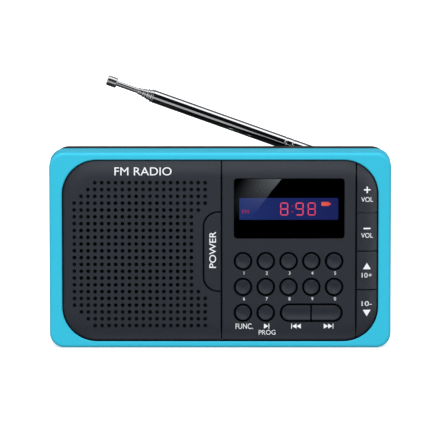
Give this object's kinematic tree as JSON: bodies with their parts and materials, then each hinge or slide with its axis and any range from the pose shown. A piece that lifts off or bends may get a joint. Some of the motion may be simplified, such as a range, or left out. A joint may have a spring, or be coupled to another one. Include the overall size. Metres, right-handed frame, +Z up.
{
  "type": "pocket radio",
  "caption": "Pocket radio with a speaker grille, lit display, number keys, side keys, battery door, side sockets and a telescopic aerial.",
  "frame": {"origin": "under the middle of the case, on the surface that the radio stands on", "axes": "+X to the listener's right, -Y out of the front towards the listener, +Z up"},
  "size_m": [0.13, 0.026, 0.1018],
  "materials": {
    "frame_plastic": "satin",
    "panel_plastic": "satin",
    "cover_plastic": "fine texture",
    "key_plastic": "satin",
    "cloth": "open weave",
    "window_glass": "polished",
    "mask_film": "gloss",
    "module_black": "matt",
    "board_green": "solder mask",
    "chip_black": "moulded",
    "can_aluminium": "brushed",
    "switch_black": "matt",
    "basket_steel": "plated",
    "magnet_iron": "sintered",
    "surround_rubber": "matt",
    "cone_paper": "pressed paper",
    "bracket_steel": "plated",
    "screw_steel": "plated",
    "socket_steel": "plated",
    "socket_black": "matt",
    "battery_wrap": "wrapped pouch",
    "contact_brass": "gold plated",
    "aerial_chrome": "polished",
    "wire_rubber": "matt"
  },
  "bodies": {
    "case": {"front_frame": "frame_plastic", "speaker_grille": "panel_plastic", "control_panel": "panel_plastic", "grille_cloth": "cloth", "rear_cover": "cover_plastic", "case_screws": "screw_steel", "display_window": "window_glass", "display_mask": "mask_film", "display_module": "module_black", "main_board": "board_green", "board_screws": "screw_steel", "board_chips": "chip_black", "board_capacitors": "can_aluminium", "switch_bodies": "switch_black", "switch_plungers": "switch_black", "speaker_basket": "basket_steel", "speaker_magnet": "magnet_iron", "speaker_surround": "surround_rubber", "speaker_cone": "cone_paper", "speaker_dust_cap": "cone_paper", "speaker_bracket": "bracket_steel", "speaker_screws": "screw_steel", "usb_socket": "socket_steel", "charging_socket": "socket_steel", "card_socket": "socket_black", "headphone_socket": "socket_black", "battery": "battery_wrap", "battery_contacts": "contact_brass", "aerial_terminal": "contact_brass", "internal_wires": "wire_rubber"},
    "door": {"battery_door": "cover_plastic"},
    "aerial_swivel": {"aerial_base": "aerial_chrome", "aerial_pin": "aerial_chrome", "aerial_screw": "screw_steel"},
    "aerial_arm": {"aerial_knuckle": "aerial_chrome", "aerial_tube_1": "aerial_chrome"},
    "aerial_second": {"aerial_tube_2": "aerial_chrome"},
    "aerial_third": {"aerial_tube_3": "aerial_chrome"},
    "aerial_fourth": {"aerial_tube_4": "aerial_chrome"},
    "aerial_last": {"aerial_rod": "aerial_chrome", "aerial_tip": "aerial_chrome"},
    "key_1": {"key_1": "key_plastic"},
    "key_2": {"key_2": "key_plastic"},
    "key_3": {"key_3": "key_plastic"},
    "key_4": {"key_4": "key_plastic"},
    "key_5": {"key_5": "key_plastic"},
    "key_6": {"key_6": "key_plastic"},
    "key_7": {"key_7": "key_plastic"},
    "key_8": {"key_8": "key_plastic"},
    "key_9": {"key_9": "key_plastic"},
    "key_0": {"key_0": "key_plastic"},
    "key_function": {"key_function": "key_plastic"},
    "key_play_program": {"key_play_program": "key_plastic"},
    "key_previous": {"key_previous": "key_plastic"},
    "key_next": {"key_next": "key_plastic"},
    "key_volume_up": {"key_volume_up": "panel_plastic"},
    "key_volume_down": {"key_volume_down": "panel_plastic"},
    "key_ten_up": {"key_ten_up": "panel_plastic"},
    "key_ten_down": {"key_ten_down": "panel_plastic"},
    "power_button": {"power_button": "panel_plastic"}
  },
  "joints": [
    {"name": "press_1", "type": "slide", "parent": "case", "child": "key_1", "axis": [0, 1, 0], "range_m": [0, 0.0006], "stiffness_N_per_m": 600, "springref_m": -0.0008},
    {"name": "press_2", "type": "slide", "parent": "case", "child": "key_2", "axis": [0, 1, 0], "range_m": [0, 0.0006], "stiffness_N_per_m": 600, "springref_m": -0.0008},
    {"name": "press_3", "type": "slide", "parent": "case", "child": "key_3", "axis": [0, 1, 0], "range_m": [0, 0.0006], "stiffness_N_per_m": 600, "springref_m": -0.0008},
    {"name": "press_4", "type": "slide", "parent": "case", "child": "key_4", "axis": [0, 1, 0], "range_m": [0, 0.0006], "stiffness_N_per_m": 600, "springref_m": -0.0008},
    {"name": "press_5", "type": "slide", "parent": "case", "child": "key_5", "axis": [0, 1, 0], "range_m": [0, 0.0006], "stiffness_N_per_m": 600, "springref_m": -0.0008},
    {"name": "press_6", "type": "slide", "parent": "case", "child": "key_6", "axis": [0, 1, 0], "range_m": [0, 0.0006], "stiffness_N_per_m": 600, "springref_m": -0.0008},
    {"name": "press_7", "type": "slide", "parent": "case", "child": "key_7", "axis": [0, 1, 0], "range_m": [0, 0.0006], "stiffness_N_per_m": 600, "springref_m": -0.0008},
    {"name": "press_8", "type": "slide", "parent": "case", "child": "key_8", "axis": [0, 1, 0], "range_m": [0, 0.0006], "stiffness_N_per_m": 600, "springref_m": -0.0008},
    {"name": "press_9", "type": "slide", "parent": "case", "child": "key_9", "axis": [0, 1, 0], "range_m": [0, 0.0006], "stiffness_N_per_m": 600, "springref_m": -0.0008},
    {"name": "press_0", "type": "slide", "parent": "case", "child": "key_0", "axis": [0, 1, 0], "range_m": [0, 0.0006], "stiffness_N_per_m": 600, "springref_m": -0.0008},
    {"name": "press_function", "type": "slide", "parent": "case", "child": "key_function", "axis": [0, 1, 0], "range_m": [0, 0.0006], "stiffness_N_per_m": 600, "springref_m": -0.0008},
    {"name": "press_play_program", "type": "slide", "parent": "case", "child": "key_play_program", "axis": [0, 1, 0], "range_m": [0, 0.0006], "stiffness_N_per_m": 600, "springref_m": -0.0008},
    {"name": "press_previous", "type": "slide", "parent": "case", "child": "key_previous", "axis": [0, 1, 0], "range_m": [0, 0.0006], "stiffness_N_per_m": 600, "springref_m": -0.0008},
    {"name": "press_next", "type": "slide", "parent": "case", "child": "key_next", "axis": [0, 1, 0], "range_m": [0, 0.0006], "stiffness_N_per_m": 600, "springref_m": -0.0008},
    {"name": "press_volume_up", "type": "slide", "parent": "case", "child": "key_volume_up", "axis": [0, 1, 0], "range_m": [0, 0.0006], "stiffness_N_per_m": 600, "springref_m": -0.0008},
    {"name": "press_volume_down", "type": "slide", "parent": "case", "child": "key_volume_down", "axis": [0, 1, 0], "range_m": [0, 0.0006], "stiffness_N_per_m": 600, "springref_m": -0.0008},
    {"name": "press_ten_up", "type": "slide", "parent": "case", "child": "key_ten_up", "axis": [0, 1, 0], "range_m": [0, 0.0006], "stiffness_N_per_m": 600, "springref_m": -0.0008},
    {"name": "press_ten_down", "type": "slide", "parent": "case", "child": "key_ten_down", "axis": [0, 1, 0], "range_m": [0, 0.0006], "stiffness_N_per_m": 600, "springref_m": -0.0008},
    {"name": "press_power", "type": "slide", "parent": "case", "child": "power_button", "axis": [0, 1, 0], "range_m": [0, 0.0006], "stiffness_N_per_m": 600, "springref_m": -0.0008},
    {"name": "battery_door_open", "type": "hinge", "parent": "case", "child": "door", "pos_m": [0.0198, 0.0129, 0.006], "axis": [-1, 0, 0], "range_deg": [0, 50]},
    {"name": "aerial_swing", "type": "hinge", "parent": "case", "child": "aerial_swivel", "pos_m": [0.0413, 0.0101, 0.0698], "axis": [0, 1, 0], "range_deg": [-19.7, 105.3]},
    {"name": "aerial_lean", "type": "hinge", "parent": "aerial_swivel", "child": "aerial_arm", "pos_m": [0.0413, 0.0101, 0.0698], "axis": [-0.3371, 0, -0.9415], "range_deg": [0, 90]},
    {"name": "aerial_extend_1", "type": "slide", "parent": "aerial_arm", "child": "aerial_second", "axis": [-0.9415, 0, 0.3371], "range_m": [0, 0.055]},
    {"name": "aerial_extend_2", "type": "slide", "parent": "aerial_second", "child": "aerial_third", "axis": [-0.9415, 0, 0.3371], "range_m": [0, 0.055]},
    {"name": "aerial_extend_3", "type": "slide", "parent": "aerial_third", "child": "aerial_fourth", "axis": [-0.9415, 0, 0.3371], "range_m": [0, 0.055]},
    {"name": "aerial_extend_4", "type": "slide", "parent": "aerial_fourth", "child": "aerial_last", "axis": [-0.9415, 0, 0.3371], "range_m": [0, 0.055]}
  ]
}
